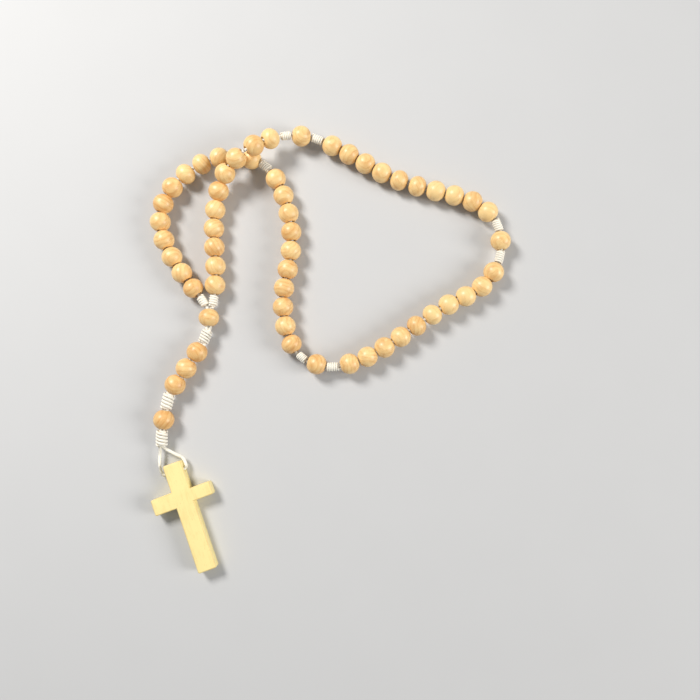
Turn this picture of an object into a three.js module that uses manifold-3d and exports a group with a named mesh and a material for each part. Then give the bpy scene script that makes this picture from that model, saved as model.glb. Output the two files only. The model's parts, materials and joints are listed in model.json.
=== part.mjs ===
// A five-decade rosary laid out on a table: round wooden beads threaded on one knotted cord,
// and a wooden cross that hangs on a loop of the cord. Millimetres, +Z up. The origin is at the
// bottom centre of the box around the beads and the cross.
//
// The cord is a string of straight links: each bead, knot and bare stretch is one link, and the
// cord bends only between links. The links are stepped off along a route laid by hand, which
// starts and ends at the centre bead.

import * as THREE from 'three';
import { mergeVertices } from 'three/addons/utils/BufferGeometryUtils.js';
import Module from 'manifold-3d';

const wasm = await Module();
wasm.setup();

// ---- driving dimensions, mm ----

const BEAD_DIAMETER = 8;
const BEAD_LENGTH = 0.90625 * BEAD_DIAMETER; // along the bore: a little flattened at the ends
const BEAD_BORE = 2.6; // takes the two strands of the pendant side by side
const BEADS_PER_DECADE = 10;
const DECADES = 5;
const PENDANT_HAIL_MARYS = 3;
const NECK_WALL = 0.4; // wall of the neck that joins the three pendant beads

const CORD_DIAMETER = 1.2;
const DOUBLE_CORD_DIAMETER = 1.5 * CORD_DIAMETER; // two strands drawn as one round of like area

const LOOP_KNOT_LENGTH = 5.0;
const FORK_KNOT_LENGTH = 4.5; // the two knots beside the centre bead are shorter
const LOOP_KNOT_DIAMETER = 3.5;
const PENDANT_KNOT_LENGTH = 6.2;
const PENDANT_KNOT_DIAMETER = 4.6;
const KNOT_END_SHARE = 0.72; // a knot's end diameter as a share of its full diameter
const KNOT_SHOULDER = 0.7; // length over which a knot grows to its full diameter

const BEAD_PLAY = 0.2; // gap between one bead and the next
const KNOT_PLAY = 0.45; // gap added to a knot's own length, half at each end
const CROSSING_SLACK = 1.2; // bare cord between two beads where the loop passes over itself
const FORK_LEAD = 0.175 * BEAD_DIAMETER; // bare cord from the centre bead's mouth to a knot

const CROSS_HEIGHT = 41.9;
const CROSS_SPAN = 22.9;
const CROSS_THICKNESS = 5.2;
const UPRIGHT_WIDTH = 7.1;
const LEFT_ARM_WIDTH = 6.2; // hand-cut: the left arm is wider and a little longer
const RIGHT_ARM_WIDTH = 5.0;
const LEFT_ARM_EXTRA = 0.7;
const ARM_DROP = 13.5; // top of the cross to the middle of its arms
const CROSS_CORNER = 0.7;
const CROSS_TURN = THREE.MathUtils.degToRad(20); // foot swung towards +X
const HOLE_DIAMETER = 2.2; // cross-drilled for the cord
const HOLE_DROP = 3.4; // top of the cross to the middle of the hole

const BEAD_SIDES = 12;
const BEAD_OUTLINE_STEPS = 6;
const CORD_SIDES = 8;
const KNOT_SIDES = 12;
const HOLE_SIDES = 12;
const CORNER_STEPS = 3; // flats round each corner of the cross
const LOOP_STEPS = 2; // straight stretches from one point of the cross's cord to the next
const STRAND_END = 0.3; // where the cords end in the centre bead: from its middle, and past a mouth

// ---- routes laid by hand ----
// x and y are millimetres from the middle of the centre bead. The third number is how far the
// cord is raised above a bead lying on the table, in bead diameters.

const LOOP_ROUTE = [
  [0, 3.7, 0], [-1.1, 4.5, 0], [-3.9, 8.6, 0], [-7.1, 12.2, 0], [-14.8, 23.6, 0], [-19.6, 34.5, 0],
  [-19.3, 44.5, 0], [-13.4, 54.3, 0], [-4.5, 61.0, 0], [6.0, 64.4, 0], [15.9, 63.4, 0],
  [24.6, 56.8, 0], [30.3, 42.5, 0], [31.8, 28.0, 0], [29.2, 13.5, 0], [28.4, 5.0, 0],
  [30.8, -8.6, 0], [36.0, -15.6, 0], [44.0, -18.9, 0], [53.0, -18.4, 0], [66.8, -12.3, 0],
  [91.2, 4.4, 0], [103.2, 10.0, 0], [110.2, 16.8, 0], [113.8, 28.8, 0], [111.5, 38.4, 0],
  [106.8, 44.0, 0], [98.0, 47.8, 0], [83.0, 51.5, 0], [69.0, 56.4, 0], [52.5, 66.0, 0],
  [37.5, 72.3, 0.05], [24.2, 70.2, 0.5], [17.8, 65.7, 0.98], [10.5, 61.0, 0.9],
  [5.8, 55.8, 0.48], [2.6, 49.0, 0.05], [1.2, 35.0, 0], [2.4, 18.0, 0], [1.9, 9.0, 0],
  [1.4, 4.1, 0], [0, 3.7, 0],
];

const PENDANT_ROUTE = [
  [0, -3.9, 0], [-0.7, -7.0, 0], [-2.3, -10.2, 0], [-5.4, -14.9, 0], [-8.5, -19.6, 0],
  [-11.6, -24.3, 0], [-14.3, -28.6, 0], [-15.3, -32.0, 0], [-15.9, -35.6, 0],
  [-16.5, -39.2, 0], [-17.0, -42.8, 0], [-17.2, -46.0, -0.06], [-17.3, -49.4, -0.14],
];

// Where the middle of the cross's hole lies from the lower end of the last knot.
const CROSS_FROM_KNOT = new THREE.Vector2(5.5, -9.3);

// The bare loop from the last knot round through the cross: x and y from the middle of the hole,
// along the arms and along the upright. The straight stretch in the middle runs in the hole.
const CROSS_LOOP_START = [0.1, 0.8]; // these two are from the lower end of the last knot
const CROSS_LOOP_END = [0.4, 0.7];
const CROSS_LOOP_LEFT = [[-4.9, 4.6], [-5.3, 2.2], [-5.0, 0.6]];
const CROSS_LOOP_HOLE = [[-3.8, 0], [-1.8, 0], [0, 0], [1.8, 0], [3.4, 0]];
const CROSS_LOOP_RIGHT = [[4.25, 0.5], [4.45, 1.6], [4.4, 3.0], [3.8, 4.5], [2.2, 6.0]];

// ---- finishes ----

const beadWood = () => new THREE.MeshStandardMaterial({ color: 0xdcae70, roughness: 0.42, metalness: 0 });
const crossWood = () => new THREE.MeshStandardMaterial({ color: 0xe8d597, roughness: 0.5, metalness: 0 });
const cordFibre = () => new THREE.MeshStandardMaterial({ color: 0xefeadb, roughness: 0.85, metalness: 0 });

// ---- joining and cutting ----

function toSolid(geometry) {
  const bare = geometry.clone();
  bare.deleteAttribute('normal');
  bare.deleteAttribute('uv');
  const merged = mergeVertices(bare, 1e-4);
  return new wasm.Manifold(new wasm.Mesh({
    numProp: 3,
    vertProperties: new Float32Array(merged.attributes.position.array),
    triVerts: new Uint32Array(merged.index.array),
  }));
}

function toGeometry(solid) {
  const mesh = solid.getMesh();
  const geometry = new THREE.BufferGeometry();
  geometry.setAttribute('position', new THREE.BufferAttribute(new Float32Array(mesh.vertProperties), 3));
  geometry.setIndex(new THREE.BufferAttribute(new Uint32Array(mesh.triVerts), 1));
  geometry.computeVertexNormals();
  return geometry;
}

// ---- stringing the links along a route ----

const DOWN = new THREE.Vector3(0, 0, -1);
const ROUTE_SAMPLES = 16; // points between one route point and the next

function smoothRoute(route, scale) {
  const points = route.map(([x, y, lift]) => new THREE.Vector3(
    x * scale,
    y * scale,
    BEAD_DIAMETER * (0.5 + lift),
  ));
  const curve = new THREE.CatmullRomCurve3(points, false, 'catmullrom', 0.5);
  return curve.getPoints((points.length - 1) * ROUTE_SAMPLES);
}

// Steps straight links of the given lengths along a route. Gives the stations between links, or
// nothing where the route is too short for them.
function stepLinks(path, lengths) {
  const stations = [path[0].clone()];
  let next = 1;
  for (const length of lengths) {
    const from = stations[stations.length - 1];
    while (next < path.length && path[next].distanceTo(from) < length) {
      next += 1;
    }
    if (next === path.length) {
      return null;
    }
    let near = path[next - 1].clone();
    let far = path[next].clone();
    for (let halving = 0; halving < 40; halving += 1) {
      const middle = near.clone().lerp(far, 0.5);
      if (middle.distanceTo(from) < length) {
        near = middle;
      } else {
        far = middle;
      }
    }
    stations.push(far);
  }
  return stations;
}

// Scales a route in plan until the links fill it from end to end, and gives their stations.
function stringOnRoute(route, lengths) {
  let low = 0.4;
  let high = 2.5;
  for (let halving = 0; halving < 60; halving += 1) {
    const scale = (low + high) / 2;
    if (stepLinks(smoothRoute(route, scale), lengths)) {
      high = scale;
    } else {
      low = scale;
    }
  }
  return stepLinks(smoothRoute(route, high), lengths);
}

// ---- links ----

const bead = (name, material = beadWood) => (
  { kind: 'bead', name, material, length: BEAD_LENGTH + BEAD_PLAY, geometry: () => beadGeometry(1) }
);
const knot = (length, diameter) => (
  { kind: 'knot', length: length + KNOT_PLAY, geometry: () => knotGeometry(length, diameter) }
);
const bareCord = (length) => ({ kind: 'cord', length });

function loopLinks() {
  const loopKnot = () => knot(LOOP_KNOT_LENGTH, LOOP_KNOT_DIAMETER);
  const forkKnot = () => knot(FORK_KNOT_LENGTH, LOOP_KNOT_DIAMETER);
  const links = [bareCord(FORK_LEAD), forkKnot()];
  for (let decade = 1; decade <= DECADES; decade += 1) {
    for (let place = 1; place <= BEADS_PER_DECADE; place += 1) {
      links.push(bead(`decade_${decade}_bead_${String(place).padStart(2, '0')}`));
      if (decade === DECADES && place === 2) {
        links.push(bareCord(CROSSING_SLACK));
      }
    }
    if (decade < DECADES) {
      links.push(loopKnot(), bead(`our_father_bead_${decade}`), loopKnot());
    }
  }
  links.push(forkKnot(), bareCord(FORK_LEAD));
  return links;
}

function pendantLinks() {
  const pendantKnot = () => knot(PENDANT_KNOT_LENGTH, PENDANT_KNOT_DIAMETER);
  const joined = {
    kind: 'bead',
    name: 'pendant_hail_mary_beads',
    material: beadWood,
    length: PENDANT_HAIL_MARYS * (BEAD_LENGTH + BEAD_PLAY),
    geometry: () => beadGeometry(PENDANT_HAIL_MARYS),
  };
  return [pendantKnot(), joined, pendantKnot(), bead('pendant_our_father_bead'), pendantKnot()];
}

// Puts a piece that was turned about Y on the straight line between two stations.
function placeOnLink(object, from, to) {
  const along = to.clone().sub(from).normalize();
  const down = DOWN.clone().addScaledVector(along, -DOWN.dot(along)).normalize();
  const across = along.clone().cross(down);
  object.quaternion.setFromRotationMatrix(new THREE.Matrix4().makeBasis(across, along, down));
  object.position.copy(from).lerp(to, 0.5);
}

// ---- beads ----

// One or more beads in a row about Y, with their bore. More than one share a thin neck.
function beadGeometry(count) {
  const bore = BEAD_BORE / 2;
  const pitch = BEAD_LENGTH + BEAD_PLAY;
  const profile = [];
  for (let place = 0; place < count; place += 1) {
    const middle = (place - (count - 1) / 2) * pitch;
    const low = place === 0 ? bore : bore + NECK_WALL;
    const high = place === count - 1 ? bore : bore + NECK_WALL;
    const start = -Math.acos(low / (BEAD_DIAMETER / 2));
    const end = Math.acos(high / (BEAD_DIAMETER / 2));
    for (let step = 0; step <= BEAD_OUTLINE_STEPS; step += 1) {
      const turn = start + (end - start) * step / BEAD_OUTLINE_STEPS;
      profile.push(new THREE.Vector2(
        BEAD_DIAMETER / 2 * Math.cos(turn),
        middle + BEAD_LENGTH / 2 * Math.sin(turn),
      ));
    }
  }
  profile.push(profile[0].clone());
  return new THREE.LatheGeometry(profile, BEAD_SIDES);
}

// ---- cord and knots ----

// A knot is a tight coil of the cord round itself, drawn as the barrel that it fills.
function knotGeometry(length, diameter) {
  const end = diameter / 2 * KNOT_END_SHARE;
  return new THREE.LatheGeometry([
    new THREE.Vector2(0, -length / 2),
    new THREE.Vector2(end, -length / 2),
    new THREE.Vector2(diameter / 2, -length / 2 + KNOT_SHOULDER),
    new THREE.Vector2(diameter / 2, length / 2 - KNOT_SHOULDER),
    new THREE.Vector2(end, length / 2),
    new THREE.Vector2(0, length / 2),
  ], KNOT_SIDES);
}

// A cord's middle line that bends only at its stations.
class StationLine extends THREE.Curve {
  constructor(stations) {
    super();
    this.stations = stations;
  }

  getPoint(t, target = new THREE.Vector3()) {
    const place = t * (this.stations.length - 1);
    const link = Math.min(Math.floor(place), this.stations.length - 2);
    return target.lerpVectors(this.stations[link], this.stations[link + 1], place - link);
  }

  // Steps fall on the stations, however long each link is.
  getUtoTmapping(u) {
    return u;
  }
}

function cordTube(stations, diameter) {
  const section = new THREE.Shape();
  for (let side = 0; side < CORD_SIDES; side += 1) {
    const turn = 2 * Math.PI * side / CORD_SIDES;
    const x = diameter / 2 * Math.cos(turn);
    const y = diameter / 2 * Math.sin(turn);
    if (side === 0) {
      section.moveTo(x, y);
    } else {
      section.lineTo(x, y);
    }
  }
  section.closePath();
  return new THREE.ExtrudeGeometry(section, {
    steps: stations.length - 1,
    extrudePath: new StationLine(stations),
  });
}

function knotSolids(links, stations) {
  const solids = [];
  links.forEach((link, place) => {
    if (link.kind !== 'knot') {
      return;
    }
    const barrel = new THREE.Mesh(link.geometry());
    placeOnLink(barrel, stations[place], stations[place + 1]);
    barrel.updateMatrix();
    solids.push(toSolid(barrel.geometry.applyMatrix4(barrel.matrix)));
  });
  return solids;
}

function joinCord(name, solids) {
  const whole = solids.reduce((sum, solid) => sum.add(solid));
  const mesh = new THREE.Mesh(toGeometry(whole), cordFibre());
  mesh.name = name;
  return mesh;
}

// ---- assemblies ----

function threadedBeads(links, stations) {
  return links.flatMap((link, place) => {
    if (link.kind !== 'bead') {
      return [];
    }
    const mesh = new THREE.Mesh(link.geometry(), link.material());
    mesh.name = link.name;
    placeOnLink(mesh, stations[place], stations[place + 1]);
    return [mesh];
  });
}

function centreBead() {
  const mesh = new THREE.Mesh(beadGeometry(1), beadWood());
  mesh.name = 'centre_bead';
  placeOnLink(mesh, new THREE.Vector3(0, 1, BEAD_DIAMETER / 2), new THREE.Vector3(0, -1, BEAD_DIAMETER / 2));
  return mesh;
}

// The two strands of a cord inside the centre bead, from near its middle out to a mouth.
function strandsInCentreBead(mouth) {
  const inner = new THREE.Vector3(0, Math.sign(mouth.y) * STRAND_END, mouth.z);
  const outer = mouth.clone().setY(mouth.y + Math.sign(mouth.y) * STRAND_END);
  return toSolid(cordTube([inner, outer], DOUBLE_CORD_DIAMETER));
}

function loopAssembly() {
  const links = loopLinks();
  const stations = stringOnRoute(LOOP_ROUTE, links.map((link) => link.length));
  const group = new THREE.Group();
  group.add(...threadedBeads(links, stations));
  group.add(joinCord('loop_cord', [
    toSolid(cordTube(stations, CORD_DIAMETER)),
    strandsInCentreBead(stations[0]),
    ...knotSolids(links, stations),
  ]));
  return group;
}

// The bare loop of single cord from the last knot, through the cross and back.
function crossLoop(knotEnd, crossPlace) {
  const height = CROSS_THICKNESS / 2;
  const turn = new THREE.Vector3(0, 0, 1);
  const fromCross = ([x, y]) => new THREE.Vector3(x, y, height)
    .applyAxisAngle(turn, CROSS_TURN)
    .add(new THREE.Vector3(crossPlace.x, crossPlace.y, 0));
  const points = [
    knotEnd.clone().add(new THREE.Vector3(...CROSS_LOOP_START, 0)),
    ...[...CROSS_LOOP_LEFT, ...CROSS_LOOP_HOLE, ...CROSS_LOOP_RIGHT].map(fromCross),
    knotEnd.clone().add(new THREE.Vector3(...CROSS_LOOP_END, 0)),
  ];
  const curve = new THREE.CatmullRomCurve3(points, false, 'catmullrom', 0.5);
  return toSolid(cordTube(curve.getPoints((points.length - 1) * LOOP_STEPS), CORD_DIAMETER));
}

function crossOutline() {
  const top = HOLE_DROP;
  const foot = HOLE_DROP - CROSS_HEIGHT;
  const arms = HOLE_DROP - ARM_DROP;
  const side = UPRIGHT_WIDTH / 2;
  const leftTip = -(CROSS_SPAN + LEFT_ARM_EXTRA) / 2;
  const rightTip = (CROSS_SPAN - LEFT_ARM_EXTRA) / 2;
  const left = LEFT_ARM_WIDTH / 2;
  const right = RIGHT_ARM_WIDTH / 2;
  const corners = [
    [-side, top, true], [-side, arms + left, false], [leftTip, arms + left, true],
    [leftTip, arms - left, true], [-side, arms - left, false], [-side, foot, true],
    [side, foot, true], [side, arms - right, false], [rightTip, arms - right, true],
    [rightTip, arms + right, true], [side, arms + right, false], [side, top, true],
  ].map(([x, y, rounded]) => ({ place: new THREE.Vector2(x, y), rounded }));
  const shape = new THREE.Shape();
  const towards = (from, to) => from.clone().add(to.clone().sub(from).setLength(CROSS_CORNER));
  corners.forEach(({ place, rounded }, index) => {
    const before = corners[(index + corners.length - 1) % corners.length].place;
    const after = corners[(index + 1) % corners.length].place;
    const start = rounded ? towards(place, before) : place;
    if (index === 0) {
      shape.moveTo(start.x, start.y);
    } else {
      shape.lineTo(start.x, start.y);
    }
    if (rounded) {
      const end = towards(place, after);
      shape.quadraticCurveTo(place.x, place.y, end.x, end.y);
    }
  });
  shape.closePath();
  return shape;
}

// The cross lies on its back, with the middle of its hole over its own origin.
function woodenCross(place) {
  const body = new THREE.ExtrudeGeometry(crossOutline(), {
    depth: CROSS_THICKNESS,
    bevelEnabled: false,
    curveSegments: CORNER_STEPS,
  });
  const hole = new THREE.CylinderGeometry(
    HOLE_DIAMETER / 2,
    HOLE_DIAMETER / 2,
    2 * UPRIGHT_WIDTH,
    HOLE_SIDES,
  );
  hole.rotateZ(Math.PI / 2);
  hole.translate(0, 0, CROSS_THICKNESS / 2);
  const mesh = new THREE.Mesh(toGeometry(toSolid(body).subtract(toSolid(hole))), crossWood());
  mesh.name = 'wooden_cross';
  mesh.rotation.z = CROSS_TURN;
  mesh.position.set(place.x, place.y, 0);
  return mesh;
}

function pendantAssembly() {
  const links = pendantLinks();
  const stations = stringOnRoute(PENDANT_ROUTE, links.map((link) => link.length));
  const knotEnd = stations[stations.length - 1];
  const crossPlace = new THREE.Vector2(knotEnd.x, knotEnd.y).add(CROSS_FROM_KNOT);
  const group = new THREE.Group();
  group.add(...threadedBeads(links, stations));
  group.add(joinCord('pendant_cord', [
    toSolid(cordTube(stations, DOUBLE_CORD_DIAMETER)),
    strandsInCentreBead(stations[0]),
    ...knotSolids(links, stations),
    crossLoop(knotEnd, crossPlace),
  ]));
  group.add(woodenCross(crossPlace));
  return group;
}

// ---- the whole rosary ----

const rosary = new THREE.Group();
rosary.add(loopAssembly(), centreBead(), pendantAssembly());

// The origin goes under the middle of everything but the cord.
const around = new THREE.Box3();
rosary.updateMatrixWorld(true);
rosary.traverse((object) => {
  if (object.isMesh && !object.name.endsWith('_cord')) {
    around.expandByObject(object, true);
  }
});
const middle = around.getCenter(new THREE.Vector3());
rosary.position.set(-middle.x, -middle.y, -around.min.z);
rosary.updateMatrixWorld(true);

export default rosary;
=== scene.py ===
import json
import math
import random

import bmesh
import bpy
from bpy.props import FloatProperty, FloatVectorProperty, PointerProperty
from mathutils import Euler, Matrix, Vector
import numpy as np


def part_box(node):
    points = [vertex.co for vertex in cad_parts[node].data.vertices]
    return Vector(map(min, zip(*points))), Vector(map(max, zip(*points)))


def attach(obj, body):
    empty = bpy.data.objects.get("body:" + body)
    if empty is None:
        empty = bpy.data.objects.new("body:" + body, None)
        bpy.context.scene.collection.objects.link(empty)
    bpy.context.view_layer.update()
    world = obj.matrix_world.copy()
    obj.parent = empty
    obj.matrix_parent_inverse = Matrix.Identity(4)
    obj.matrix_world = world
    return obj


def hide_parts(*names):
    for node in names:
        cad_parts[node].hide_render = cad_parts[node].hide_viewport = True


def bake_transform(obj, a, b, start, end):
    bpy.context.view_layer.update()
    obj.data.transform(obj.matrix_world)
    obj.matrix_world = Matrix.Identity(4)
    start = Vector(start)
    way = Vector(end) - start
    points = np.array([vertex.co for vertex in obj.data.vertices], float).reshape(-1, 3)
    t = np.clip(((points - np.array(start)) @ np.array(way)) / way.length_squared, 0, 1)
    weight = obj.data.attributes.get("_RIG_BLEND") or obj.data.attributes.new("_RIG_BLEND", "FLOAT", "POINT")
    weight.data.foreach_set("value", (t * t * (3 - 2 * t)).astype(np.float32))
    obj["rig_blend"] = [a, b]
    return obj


bl_info = {
    "name": "Wooden bead rosary",
    "version": (1, 0, 0),
    "blender": (4, 5, 0),
    "location": "3D View > Sidebar > Rosary",
    "description": "Makes the beads, cord, knots and cross of a five-decade rosary",
    "category": "Object",
}

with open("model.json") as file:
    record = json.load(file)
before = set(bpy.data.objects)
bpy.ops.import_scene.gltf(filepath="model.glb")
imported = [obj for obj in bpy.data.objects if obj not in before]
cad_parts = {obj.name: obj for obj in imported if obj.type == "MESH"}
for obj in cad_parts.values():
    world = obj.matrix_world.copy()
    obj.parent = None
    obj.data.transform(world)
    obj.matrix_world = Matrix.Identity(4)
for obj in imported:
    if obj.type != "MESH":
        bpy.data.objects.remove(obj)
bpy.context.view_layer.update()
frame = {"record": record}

MM = 0.001
UP = Vector((0, 0, 1))

# ---- how the cord is laid ----
# x and y are metres from the middle of the centre bead. The third number is how far the cord is
# raised above a bead lying on the table, in bead diameters.

LOOP_ROUTE = (
    (0, 0.0037, 0), (-0.0011, 0.0045, 0), (-0.0039, 0.0086, 0), (-0.0071, 0.0122, 0),
    (-0.0148, 0.0236, 0),
    (-0.0196, 0.0345, 0), (-0.0193, 0.0445, 0), (-0.0134, 0.0543, 0), (-0.0045, 0.0610, 0),
    (0.0060, 0.0644, 0), (0.0159, 0.0634, 0), (0.0246, 0.0568, 0), (0.0303, 0.0425, 0),
    (0.0318, 0.0280, 0), (0.0292, 0.0135, 0), (0.0284, 0.0050, 0), (0.0308, -0.0086, 0),
    (0.0360, -0.0156, 0), (0.0440, -0.0189, 0), (0.0530, -0.0184, 0), (0.0668, -0.0123, 0),
    (0.0912, 0.0044, 0), (0.1032, 0.0100, 0), (0.1102, 0.0168, 0), (0.1138, 0.0288, 0),
    (0.1115, 0.0384, 0), (0.1068, 0.0440, 0), (0.0980, 0.0478, 0), (0.0830, 0.0515, 0),
    (0.0690, 0.0564, 0), (0.0525, 0.0660, 0), (0.0375, 0.0723, 0.05), (0.0242, 0.0702, 0.5),
    (0.0178, 0.0657, 0.98), (0.0105, 0.0610, 0.9), (0.0058, 0.0558, 0.48),
    (0.0026, 0.0490, 0.05), (0.0012, 0.0350, 0), (0.0024, 0.0180, 0), (0.0019, 0.0090, 0),
    (0.0014, 0.0041, 0), (0, 0.0037, 0),
)

PENDANT_ROUTE = (
    (0, -0.0039, 0), (-0.0007, -0.0070, 0), (-0.0023, -0.0102, 0), (-0.0054, -0.0149, 0),
    (-0.0085, -0.0196, 0), (-0.0116, -0.0243, 0), (-0.0143, -0.0286, 0), (-0.0153, -0.0320, 0),
    (-0.0159, -0.0356, 0), (-0.0165, -0.0392, 0), (-0.0170, -0.0428, 0),
    (-0.0172, -0.0460, -0.06), (-0.0173, -0.0494, -0.14),
)

# Where the middle of the cross's hole lies from the lower end of the last knot.
CROSS_FROM_KNOT = (0.0055, -0.0093)
CROSS_TURN = math.radians(20)  # foot swung towards +X

# The bare loop of cord round through the cross: x and y from the middle of the hole, along the
# arms and along the upright. The straight stretch in the middle runs in the hole.
CROSS_LOOP = (
    (-0.0049, 0.0046), (-0.0053, 0.0022), (-0.0050, 0.0006), (-0.0038, 0), (-0.0018, 0), (0, 0),
    (0.0018, 0), (0.0034, 0), (0.00425, 0.0005), (0.00445, 0.0016), (0.0044, 0.0030),
    (0.0038, 0.0045), (0.0022, 0.0060),
)

BEADS_PER_DECADE = 10
DECADES = 5
PENDANT_BEADS = 3
SLACK_AFTER = 2  # the bead of the last decade that has slack cord after it
BEAD_PLAY = 0.2 * MM  # free cord beside a bead
KNOT_PLAY = 0.45 * MM  # free cord beside a knot
CROSSING_SLACK = 1.2 * MM  # the slack cord where the loop passes over itself
FORK_LEAD = 1.4 * MM  # bare cord between the centre bead and a knot at the fork
CROSS_THICKNESS = 5.2 * MM

ROUTE_SAMPLES = 16  # points between one route point and the next
ROUTE_SCALES = (0.4, 2.5)  # the smallest and largest scale in plan that are tried
SCALE_HALVINGS = 36  # steps that close in on a route's scale
STATION_HALVINGS = 40  # steps that close in on a station
PLACE_TOLERANCE = 0.15 * MM  # how far a bead may lie from its place in the frame

CORD_SIDES = 12
CORD_STEPS = 4  # points between one station of the loop and the next
PENDANT_STEPS = 3  # points between one point of the pendant's cord and the next
PENDANT_EXIT = 4  # which point of the pendant's path is its exit
STRAND_GAP = 0.01 * MM  # from a strand to the middle line between two strands
FOLD_EASE = 1.2 * MM  # half the width over which a cord bends at a fold
SWAY_EASE = 0.8 * MM  # the same where the pendant leaves the centre bead
HIDDEN_END = 0.4 * MM  # where a strand ends inside the centre bead, from its middle
MOUTH = 3.3 * MM  # the centre bead's mouth, from its middle
PENDANT_MOUTH = MOUTH - 0.4 * MM  # the last point of the pendant's strands inside it

# ---- how the beads are turned ----

BEAD_SIDES = 40
BEAD_POINTS = 11  # points of a bead's outline from its middle to either end
WIDTH_SPREAD = (0.985, 1.0)  # shares of the full width
LENGTH_SPREAD = (0.972, 0.988)  # shares of the full length
FULLNESS = 0.97  # below 1, a bead's ends are fuller than a true round
FOLD_LENGTH = 1.005  # lengthens the true round of a bead beside a fold
RIM_EASE = 0.25 * MM  # how far the rims are eased, across the bore
RIM_DEPTH = 1.3  # the same along the bore, in rim eases
OUT_OF_ROUND = 0.004  # half the share by which a bead is narrower one way than the other

# Where in the plank a bead is cut: from the pith across, to the side, and along, in millimetres.
BEAD_PLANK = ((9, 22), (-4, 4), (-300, 300))
# A higher tone is a deeper colour. It falls from the centre bead towards +X and +Y, to the metre.
BEAD_TONE = 0.22
TONE_FALL_X = 1.8
TONE_FALL_Y = 1.3
TONE_SPREAD = (-0.2, 0.22)

# ---- how the knots are wound ----

COIL_STEPS = 26  # sections in one turn
COIL_SIDES = 12
COIL_OVERLAP = 0.15  # part of a turn by which a coil goes on past its last wrap
WRAP_DEPTH = 1.25  # the greatest depth of a wrap, in pitches
WRAP_BREADTH = 0.53  # half the breadth of a wrap, in pitches, so that wraps press together
SLIM_REACH = 1.1  # how far from its ends a knot is slimmer, in pitches
CORE_SIDES = 20
CORE_END = 0.1 * MM  # from a knot's end to its core's
CORE_SLIM = 0.6  # the core's radius at its ends, as a share of its middle
CORE_TIP = 0.0001 * MM  # radius of the core's points that close on its axis
WRAPS = 6
FORK_WRAPS = 5

# How a knot fills its room: what its length gains, its share of the thickness, and its ends'
# share of its own. A knot beside a fold is pulled tighter.
KNOT_FREE = (0.3 * MM, 1.0, 0.82)
KNOT_TIGHT = (-0.5 * MM, 0.93, 0.55)

# ---- how the cross is cut ----

CORNER_SEGMENTS = 5
EDGE_SEGMENTS = 4
DRILL_SIDES = 32
DRILL_TIP = 0.001 * MM  # radius of the drill's points that close on its axis
HOLE_FLARE = 0.3 * MM
CROSS_PLANK = Vector((14, 9, 40))  # where in the plank it is cut, in millimetres from the pith
GRAIN_SLANT = math.radians(7)  # of the grain from the upright
SHARP_ANGLE = math.radians(35)
PAINTED_SHADE_BAND = (0.05, 0.95)  # the part of an eased edge that is given painted shade, from the top down
# A deeper tone on the eased edges is painted shade; a paler tone on the sides is painted light.
EDGE_PAINTED_SHADE = 0.5
SIDE_PAINTED_LIGHT = -0.3

# ---- the stage ----

FILM_WIDTH = 36
CAMERA_FROM_CENTRE = (54.26 * MM, -35.64 * MM)
TABLE_REACH = 1.5
WINDOW_COLOUR = (1.0, 0.97, 0.93)
SKY_COLOUR = (0.93, 0.96, 1.0)

# ---- sizes and colours that can be changed ----


def size_of(name, description, millimetres):
    """A length that can be changed."""
    return FloatProperty(
        name=name, description=description, default=millimetres * MM, unit="LENGTH"
    )


def colour_of(name, description, colour):
    """A colour that can be changed."""
    return FloatVectorProperty(
        name=name, description=description, subtype="COLOR", size=3, default=colour
    )


class BeadSettings(bpy.types.PropertyGroup):
    """The turned beads."""

    diameter: size_of("Diameter", "Across a bead at its middle", 8)
    length: size_of(
        "Length", "Along the bore of the full round, before the bore cuts its ends", 7.25
    )
    bore: size_of("Bore", "Across the hole for the cord", 2.6)
    pale: colour_of("Pale wood", "Colour of the spring wood", (0.93, 0.66, 0.30))
    deep: colour_of(
        "Deep wood", "Colour of the summer wood and the warmest beads", (0.64, 0.29, 0.07)
    )


class CordSettings(bpy.types.PropertyGroup):
    """The cord and its knots."""

    diameter: size_of("Cord diameter", "Across one cord", 1.2)
    loop_knot_length: size_of("Loop knot length", "Along a knot beside an Our Father bead", 5.0)
    fork_knot_length: size_of("Fork knot length", "Along a knot beside the centre bead", 4.5)
    loop_knot_diameter: size_of("Loop knot diameter", "Across a knot tied in one cord", 3.5)
    pendant_knot_length: size_of(
        "Pendant knot length", "Along a knot tied round both strands", 6.2
    )
    pendant_knot_diameter: size_of(
        "Pendant knot diameter", "Across a knot tied round both strands", 4.6
    )
    pale: colour_of("Fibre", "Colour of the cord", (0.93, 0.90, 0.80))
    # The dark end of the cord's colour: painted shade between the plies and between a knot's wraps. Darker
    # stains also lean towards it.
    shade: colour_of("Groove", "Colour between the strands of the cord", (0.45, 0.38, 0.26))


class CrossSettings(bpy.types.PropertyGroup):
    """The wooden cross."""

    height: size_of("Height", "Top to foot", 41.9)
    span: size_of("Span", "Across the arms", 22.9)
    upright: size_of("Upright", "Width of the upright", 7.1)
    left_arm: size_of("Left arm", "Width of the left arm", 6.2)
    right_arm: size_of("Right arm", "Width of the right arm", 5.0)
    left_extra: size_of("Left extra", "How much further the left arm reaches than the right", 0.7)
    arm_drop: size_of("Arm drop", "Top of the cross to the middle of the arms", 13.5)
    hole: size_of("Hole", "Across the drilled hole", 2.2)
    hole_drop: size_of("Hole drop", "Top of the cross to the middle of the hole", 3.4)
    corner: size_of("Corner", "Rounding of the corners", 0.7)
    edge: size_of("Edge", "Easing of the long edges", 0.45)
    pale: colour_of("Pale wood", "Colour of the spring wood", (0.92, 0.77, 0.34))
    deep: colour_of("Deep wood", "Colour of the summer wood", (0.78, 0.54, 0.20))


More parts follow.
